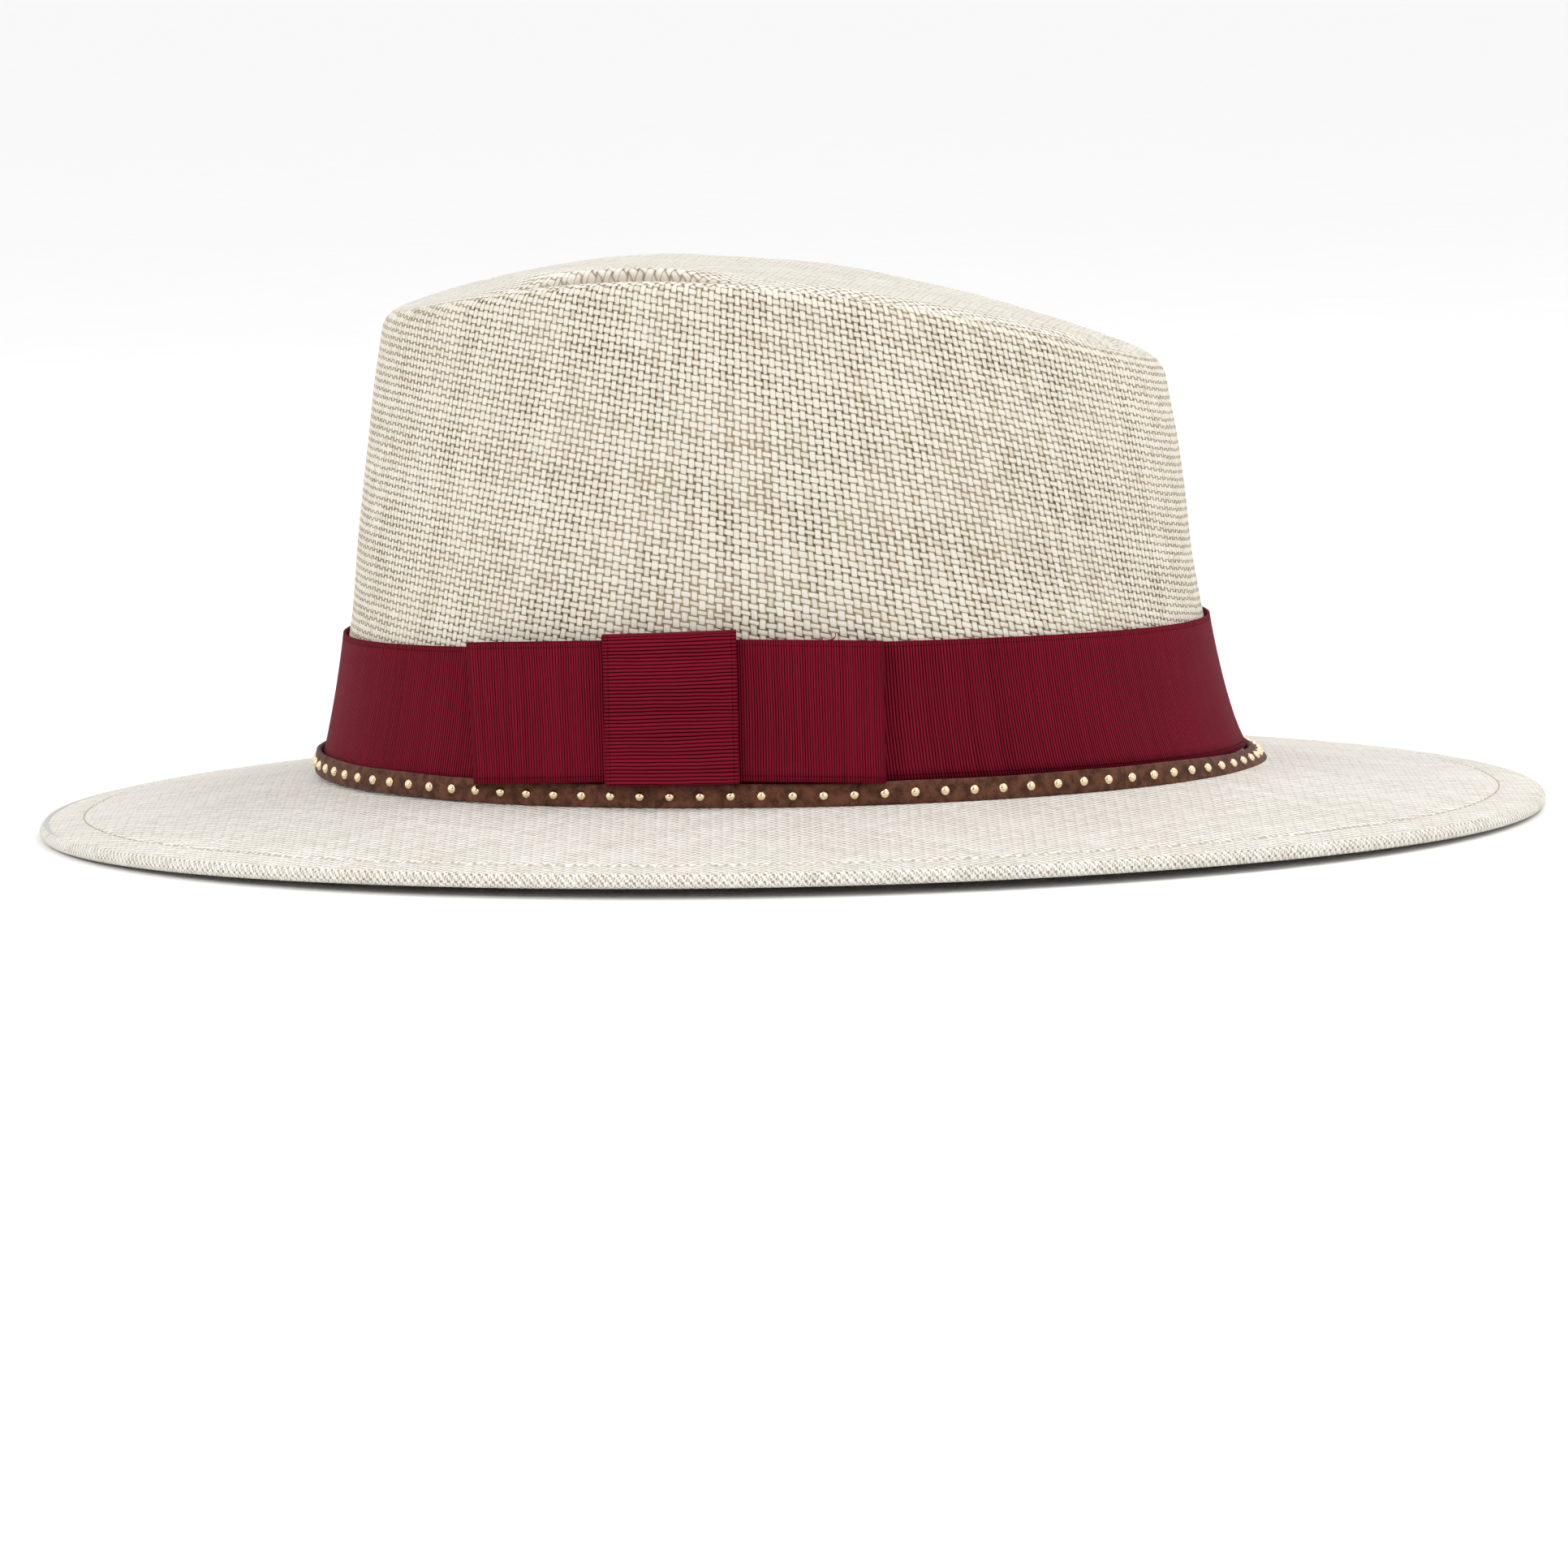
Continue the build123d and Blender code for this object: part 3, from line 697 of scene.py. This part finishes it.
def body_point(ring, turn):
    """A point of the woven body's outer face, by its ring and its turn."""
    ring = round(ring)
    if ring <= TOP_END:
        x1, y1 = top_start(turn)
        run = hypot(x1, y1 - TOP_CENTRE_Y)
        if ring >= TOP_COARSE:
            inset = CREASE_ZONE * (TOP_END - ring) / TOP_FINE
        else:
            inset = run - (run - CREASE_ZONE) * ring / TOP_COARSE
        share = 1 - inset / run
        x, y = x1 * share, TOP_CENTRE_Y + (y1 - TOP_CENTRE_Y) * share
        return x, y, top_height(inset, y, turn) + unevenness(x, y, 0, 0.5) * smooth_step(inset / 10)
    if ring <= RIM_END:
        radius = rim_round(turn)
        tilt = RIM_SWEEP * (ring - TOP_END) / RIM_RINGS
        ridge = rim_ridge(turn)
        x, y = on_oval(ridge - radius - BREAK, turn, radius * (sin(tilt) - 1))
        y_ridge = top_start(turn)[1]
        return x, y, rim_height(y_ridge) - radius * (1 - cos(tilt))
    if ring <= WALL_END:
        radius = rim_round(turn)
        high = rim_height(top_start(turn)[1]) - radius * (1 - cos(RIM_SWEEP))
        low = BREAK + FOOT
        t = (ring - RIM_END) / WALL_RINGS
        z = high + (low - high) * t
        x, y = on_oval(z - BREAK, turn)
        dent = unevenness(x, y, z, 0.8) * smooth_step(t * 6) * smooth_step((z - 50.0) / 14.0)
        x, y = on_oval(z - BREAK, turn, dent)
        return x, y, z
    if ring <= FOOT_END:
        tilt = FOOT_SWEEP * (ring - WALL_END) / FOOT_RINGS
        x, y = on_oval(FOOT * (1 - sin(tilt)), turn, FOOT * (1 - cos(tilt)) - 0.05 * FOOT)
        return x, y, BREAK + FOOT * (1 - sin(tilt))
    if ring <= BRIM_END:
        return brim_point(BRIM_SHARES[ring - FOOT_END], turn)
    if ring <= FOLD_END:
        sweep = pi - BRIM_SLOPE + FLAP_SLOPE
        tilt = pi / 2 - BRIM_SLOPE - sweep * (ring - BRIM_END) / FOLD_RINGS
        return edge_point(turn, FOLD * cos(tilt), FOLD * sin(tilt))
    inward = HEM * (ring - FOLD_END) / FLAP_RINGS
    out = -FOLD * sin(FLAP_SLOPE) - inward * cos(FLAP_SLOPE)
    return edge_point(turn, out, -FOLD * cos(FLAP_SLOPE) + inward * sin(FLAP_SLOPE))


PITCH = 1.75                   # from strip to strip of the weave
COLUMNS = 340                  # strips round the crown, an even number


def askew(x, y, turn):
    """Place in a weave that lies at an angle to the hat, kept above zero."""
    return (x * cos(turn) + y * sin(turn)) / PITCH, (y * cos(turn) - x * sin(turn)) / PITCH + 300.0


def weave_place(turn, point, ring):
    """Where the strips run: level rounds on the wall that sink to the back, askew on top and brim."""
    x, y, z = point
    if ring < TOP_END + 2.5:
        return askew(x, y, radians(40))
    if ring < WALL_END + 1:
        sink = 21.0 * (1 - cos(turn)) + 2.4 * (cos(2 * turn) - 1)
        lean = -0.13 * sin(2 * turn) * (z - 80.0)
        return COLUMNS * turn / (2 * pi) + lean / PITCH, (z + sink) / PITCH
    if BRIM_END < ring < FOLD_END:
        run, across = edge_run(turn), pi * FOLD * (ring - BRIM_END) / FOLD_RINGS
        return (run + across) / PITCH, (run - across) / PITCH
    return askew(x, y, radians(45))


def straw_body():
    bm = spun_rings(0, FLAP_END + 1, TURNS)
    # the crease mask carries the painted shade along the top's crease
    place_rings(bm, body_point, weave_place, {"crease": crease_shade, "openness": openness})
    piece = add_wall(mesh_object("woven_body", bm), CLOTH)
    return finish_piece(piece, straw_cloth(), "straw_cloth", "straw_body")


def edge_run(turn):
    """Distance along the brim's edge, where the cloth runs askew round the fold."""
    return 169.5 * turn - 1.9 * sin(2 * turn)


def oval_length(half_width, half_length):
    total = 0.0
    for i in range(720):
        total += hypot(half_width * cos(i * pi / 360), half_length * sin(i * pi / 360)) * pi / 360
    return total


def even_turns(count, half_width, half_length):
    """Turns that lie an even distance apart along an oval."""
    fine = 7200
    step = oval_length(half_width, half_length) / count
    turns, gone, wanted = [], 0.0, step / 2
    for i in range(fine):
        turn = 2 * pi * i / fine
        gone += hypot(half_width * cos(turn), half_length * sin(turn)) * 2 * pi / fine
        if gone >= wanted and len(turns) < count:
            turns.append(turn)
            wanted += step
    return turns


STITCHES = 300
STITCH_TURN = 0.0036           # half a stitch, as a turn round the brim
STITCH_SIZE = (1.15, 0.24, 0.2)  # half length, half width and half height


def hem_stitching():
    """Running stitches through the brim and the flap below it."""
    bm = bmesh.new()
    for turn in even_turns(STITCHES, FOLD_HALF_WIDTH - HEM_STITCH, FOLD_HALF_LENGTH - HEM_STITCH):
        start = Vector(brim_point(STITCH_SHARE, turn - STITCH_TURN))
        end = Vector(brim_point(STITCH_SHARE, turn + STITCH_TURN))
        along = (end - start).normalized()
        middle = (start + end) / 2 + Vector((0, 0, 0.12))
        made = bmesh.ops.create_icosphere(bm, subdivisions=1, radius=1.0)["verts"]
        turn_to = along.to_track_quat("X", "Z").to_matrix().to_4x4()
        size = Matrix.Diagonal((*(MM * half for half in STITCH_SIZE), 1))
        bmesh.ops.transform(bm, matrix=Matrix.Translation(middle * MM) @ turn_to @ size, verts=made)
    piece = mesh_object("hem_stitches", bm)
    material = twisted_thread("straw_thread", (0.48, 0.40, 0.29, 1), (0.68, 0.60, 0.48, 1))
    return finish_piece(piece, material, "straw_thread", "hem_stitching")


# ---- ribbon and bow ------------------------------------------------------------------------------

RIBBON_THICK = 0.6
RIBBON_GAP = 0.5
RIBBON_WIDTH = 31.2
BAND_LOW = BREAK + 5.2
BAND_HIGH = BAND_LOW + RIBBON_WIDTH
BAND_DIP = 2.4                 # the ribbon lies this much lower at the front and the back
BOW_LOW = 17.4
BOW_HIGH = 48.9
BOW_RIB_RUN = 236.0            # pattern lengths, longer than the ribbons where their ribs are finer
KNOT_RIB_RUN = 76.0


def band_dip(y):
    return BAND_DIP * (y / 105.0) ** 2


def band_point(turn, across, offset):
    """A point of the ribbon: across is 0 at its lower edge and 1 at its upper edge."""
    y = on_oval(20, turn)[1]
    z = BAND_LOW + (BAND_HIGH - BAND_LOW) * across - band_dip(y)
    flare = 0.7 * (1 - across) ** 2 + 0.45 * across**3
    x, y = on_oval(z - BREAK, turn, offset + flare)
    return x, y, z


def ribbon_band():
    columns, rows = 400, 10
    length = oval_length(88.6, 102.7)
    bm = strip(columns, rows)
    place_strip(bm, lambda along, across: band_point(2 * pi * along, across, RIBBON_GAP + RIBBON_THICK),
                length, RIBBON_WIDTH, closed=True)
    piece = add_wall(mesh_object("band_ribbon", bm), RIBBON_THICK)
    return finish_piece(piece, ribbon_cloth("grosgrain_band"), "grosgrain", "ribbon_band")


def turn_at(y, offset, rise=20):
    """The turn, on the bow's side, at which the wall grown by offset is at y."""
    front, back, _ = oval_at(rise)
    half_length = (front + back) / 2 + offset
    share = ((back - front) / 2 - y) / half_length
    return pi / 2 - atan(share / sqrt(1 - share * share))


BOW_FRONT, BOW_BACK = -73.2, 20.5
KNOT_FRONT, KNOT_BACK = -42.6, -12.0
LOOP_INNER = 2.6               # offset from the crown of the loops' inner layer
LOOP_DEEP = 2.1                # between the middles of a loop's two layers


def bow_place(y, z, offset):
    """A point at y on the bow's side, off the crown by offset."""
    rise = min(z, BAND_HIGH) - BREAK
    x, y = on_oval(rise, turn_at(y, offset, rise), offset)
    return x, y, z


def bow_sag(y):
    return -1.4 * ((y + 24.0) / 47.0) ** 2


def loop_point(along, across):
    """The bow's ribbon, round its flat section: along the front layer and back along the rear one."""
    half = LOOP_DEEP / 2
    bend = 0.06
    if along < 0.5 - bend:
        t, out = along / (0.5 - bend), half
    elif along < 0.5:
        tilt = pi * (along - 0.5 + bend) / bend
        t, out = 1 + 0.0095 * sin(tilt), half * cos(tilt)
    elif along < 1 - bend:
        t, out = 1 - (along - 0.5) / (0.5 - bend), -half
    else:
        tilt = pi * (along - 1 + bend) / bend
        t, out = -0.0095 * sin(tilt), -half * cos(tilt)
    y = BOW_FRONT + (BOW_BACK - BOW_FRONT) * t
    front_gap, back_gap = KNOT_FRONT - y, y - KNOT_BACK
    spread = smooth_step(max(front_gap, back_gap, 0.0) / 11.0)
    if out > 0:
        out = out * (0.15 + 1.05 * spread) + 0.4 * sin(pi * across) * spread
    z = BOW_LOW + (BOW_HIGH - BOW_LOW) * across + bow_sag(y)
    y += 1.2 * (1 - across) * (1 - t) ** 2
    return bow_place(y, z, LOOP_INNER + half + out + 0.4)


def bow_loops():
    bm = strip(220, 12)
    place_strip(bm, loop_point, BOW_RIB_RUN, 31.6, closed=True)
    piece = add_wall(mesh_object("bow_ribbon", bm), RIBBON_THICK)
    return finish_piece(piece, ribbon_cloth("grosgrain_bow", width=31.6), "grosgrain", "bow_loops")


def knot_point(along, across):
    """The knot's ribbon, round the bow from front to back over its upper edge."""
    y = KNOT_FRONT + (KNOT_BACK - KNOT_FRONT) * across
    low, high = BOW_LOW - 0.75 + 0.5 * across, BOW_HIGH + 0.7 + 1.0 * across
    inner, outer = 1.9, LOOP_INNER + LOOP_DEEP + 1.6
    round_share = 0.07
    tall = high - low
    half = (outer - inner) / 2
    if along < 0.5 - round_share:
        z, out = low + tall * along / (0.5 - round_share), half
    elif along < 0.5:
        tilt = pi * (along - 0.5 + round_share) / round_share
        z, out = high + 0.55 * sin(tilt), half * cos(tilt)
    elif along < 1 - round_share:
        z, out = high - tall * (along - 0.5) / (0.5 - round_share), -half
    else:
        tilt = pi * (along - 1 + round_share) / round_share
        z, out = low - 0.4 * sin(tilt), -half * cos(tilt)
    edge = (2 * across - 1) ** 6
    return bow_place(y, z, (inner + outer) / 2 + out * (1 - 0.12 * edge))


def bow_knot():
    bm = strip(120, 24)
    place_strip(bm, knot_point, KNOT_RIB_RUN, RIBBON_WIDTH, closed=True, reverse=True)
    piece = add_wall(mesh_object("knot_ribbon", bm), RIBBON_THICK)
    return finish_piece(piece, ribbon_cloth("grosgrain_knot", pitch=0.8), "grosgrain", "bow_knot")


def loose_thread():
    """The cut end of a bow stitch, standing up behind the bow's upper edge."""
    bm = strip(16, 8)

    def shape(along, across):
        y = 9.5 + 1.6 * along + 0.5 * sin(5 * along)
        place = Vector(bow_place(y, BAND_HIGH + 0.6 + 1.5 * sin(2.2 * along), 2.2))
        radius = 0.24 * (1 - 0.4 * along)
        return place + radius * Vector((cos(2 * pi * across), 0, sin(2 * pi * across)))

    place_strip(bm, shape, 3, 1, closed=True, reverse=True)
    bmesh.ops.holes_fill(bm, edges=bm.edges)
    piece = mesh_object("loose_thread", bm)
    material = twisted_thread("loose_thread", (0.10, 0.006, 0.018, 1), (0.30, 0.02, 0.055, 1))
    return finish_piece(piece, material, "burgundy_thread")


# ---- strap and studs -----------------------------------------------------------------------------

STRAP_LOW, STRAP_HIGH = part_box("studded_strap")
STRAP_HALF_LENGTH = (STRAP_HIGH.y - STRAP_LOW.y) / 2 / MM
STRAP_HALF_WIDTH = (STRAP_HIGH.x - STRAP_LOW.x) / 2 / MM
STRAP_BOTTOM = STRAP_LOW.z / MM
STRAP_TALL = (STRAP_HIGH.z - STRAP_LOW.z) / MM
STRAP_THICK = 1.3
STUDS = 94
STUD_RADIUS = 1.18
STUD_RISE = 0.95               # half height of the ball that makes the dome
STUD_SINK = 0.12               # its centre lies this deep in the strap


def strap_frame(turn):
    """Middle of the strap's outer face, the face's outward direction and the direction across it."""
    x, y = STRAP_HALF_WIDTH * sin(turn), -STRAP_HALF_LENGTH * cos(turn)
    level = Vector((sin(turn) / STRAP_HALF_WIDTH, -cos(turn) / STRAP_HALF_LENGTH, 0)).normalized()
    wave = 0.3 * noise.noise(Vector((x, y, 3.0)) / 25.0)
    rise = 0.9 * max(cos(turn), 0) ** 2 - 0.45 * max(-cos(turn), 0) + max(wave, -0.1)
    lean = 0.10 + 0.10 * noise.noise(Vector((y, x, 9.0)) / 40.0) + 1.2 * max(-cos(turn), 0) ** 8
    up = (Vector((0, 0, 1)) - lean * level).normalized()
    outward = (level + lean * Vector((0, 0, 1))).normalized()
    return Vector((x, y, STRAP_BOTTOM + rise)) + up * STRAP_TALL / 2, outward, up


def strap_point(share, turn):
    """The strap's section: a flat strip with softly rounded edges, share being 0 to 1 round it."""
    centre, outward, up = strap_frame(turn)
    angle = 2 * pi * (share + 0.03)
    tall, deep = STRAP_TALL / 2, STRAP_THICK / 2
    height = tall * abs(sin(angle)) ** 0.45 * (1 if sin(angle) >= 0 else -1)
    out = deep * abs(cos(angle)) ** 0.45 * (1 if cos(angle) >= 0 else -1)
    rough = 0.07 * noise.noise(Vector((60 * turn, 9 * sin(angle), 9 * cos(angle))))
    return centre + up * (height + rough) + outward * (out - deep)


def studded_strap():
    bm = strip(420, 16)
    place_strip(bm, lambda along, across: strap_point(across, 2 * pi * along), 660, 14, closed=True)
    return finish_piece(mesh_object("suede_strap", bm), suede(), "suede", "studded_strap")


def strap_studs():
    bm = bmesh.new()
    for turn in even_turns(STUDS, STRAP_HALF_WIDTH, STRAP_HALF_LENGTH):
        centre, outward, _ = strap_frame(turn)
        made = bmesh.ops.create_uvsphere(bm, u_segments=14, v_segments=10, radius=1.0)["verts"]
        turned = outward.to_track_quat("Z", "Y").to_matrix().to_4x4()
        place = Matrix.Translation((centre - STUD_SINK * outward) * MM)
        size = Matrix.Diagonal((STUD_RADIUS * MM, STUD_RADIUS * MM, STUD_RISE * MM, 1))
        bmesh.ops.transform(bm, matrix=place @ turned @ size, verts=made)
    return finish_piece(mesh_object("dome_studs", bm), gilt_brass(), "gilt_brass", "strap_studs")


# ---- inside ----------------------------------------------------------------------------------------

SWEATBAND_LOW = BREAK + 1.6
SWEATBAND_HEIGHT = 32.0
SWEATBAND_JOIN = 0.005         # half the join between its ends, as a turn
LABEL_TURN = 0.155             # half the label's length, as a turn
LABEL_LOW = BREAK + 9.3
LABEL_HEIGHT = 11.4


def sweatband():
    """The ribbed band inside the crown, with its join at the back."""

    def shape(along, across):
        z = SWEATBAND_LOW + SWEATBAND_HEIGHT * across
        turn = pi + SWEATBAND_JOIN + (2 * pi - 2 * SWEATBAND_JOIN) * along
        x, y = on_oval(z - BREAK, turn, -(CLOTH + 0.45 + 0.5 * smooth_step(across * 3 - 2)))
        return x, y, z

    bm = strip(300, 10)
    place_strip(bm, shape, 590, SWEATBAND_HEIGHT)
    piece = add_wall(mesh_object("inner_band", bm), 0.8)
    return finish_piece(piece, sweatband_cotton(), "sweatband_cotton", "sweatband")


def size_label():
    """A blank woven label over the sweatband's join, its ends turned under."""
    bm = strip(24, 8)

    def shape(along, across):
        turn = pi - LABEL_TURN + 2 * LABEL_TURN * along
        curl = 0.35 * (2 * along - 1) ** 8
        z = LABEL_LOW + LABEL_HEIGHT * across
        x, y = on_oval(z - BREAK, turn, -(CLOTH + 1.65 - curl + 0.12 * sin(pi * across)))
        return x, y, z

    place_strip(bm, shape, 30, 12)
    piece = add_wall(mesh_object("woven_label", bm), 0.35)
    return finish_piece(piece, label_satin(), "label_satin", "size_label")


# ---- the pieces kept from the model -------------------------------------------------------------

def dress_kept_nodes():
    """Gives their finish to the wire and threads, which stay as they are modelled."""
    thread_red = twisted_thread("burgundy_thread", (0.10, 0.006, 0.018, 1), (0.26, 0.014, 0.045, 1))
    thread_brown = twisted_thread("brown_thread", (0.09, 0.03, 0.015, 1), (0.2, 0.085, 0.045, 1))
    thread_straw = twisted_thread("seam_thread", (0.62, 0.56, 0.45, 1), (0.80, 0.75, 0.65, 1))
    finishes = {
        "brim_wire": spring_wire(),
        "sweatband_stitching": thread_straw,
        "ribbon_tacks": thread_red,
        "bow_tacks": thread_red,
        "strap_tacks": thread_brown,
    }
    for name, material in finishes.items():
        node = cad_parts[name]
        node.data.materials.clear()
        node.data.materials.append(material)


add_camera()
GROUPS = {"straw_weave": straw_weave_group(), "grosgrain": grosgrain_group()}
add_studio()
straw_body()
hem_stitching()
ribbon_band()
bow_loops()
bow_knot()
loose_thread()
studded_strap()
strap_studs()
sweatband()
size_label()
dress_kept_nodes()
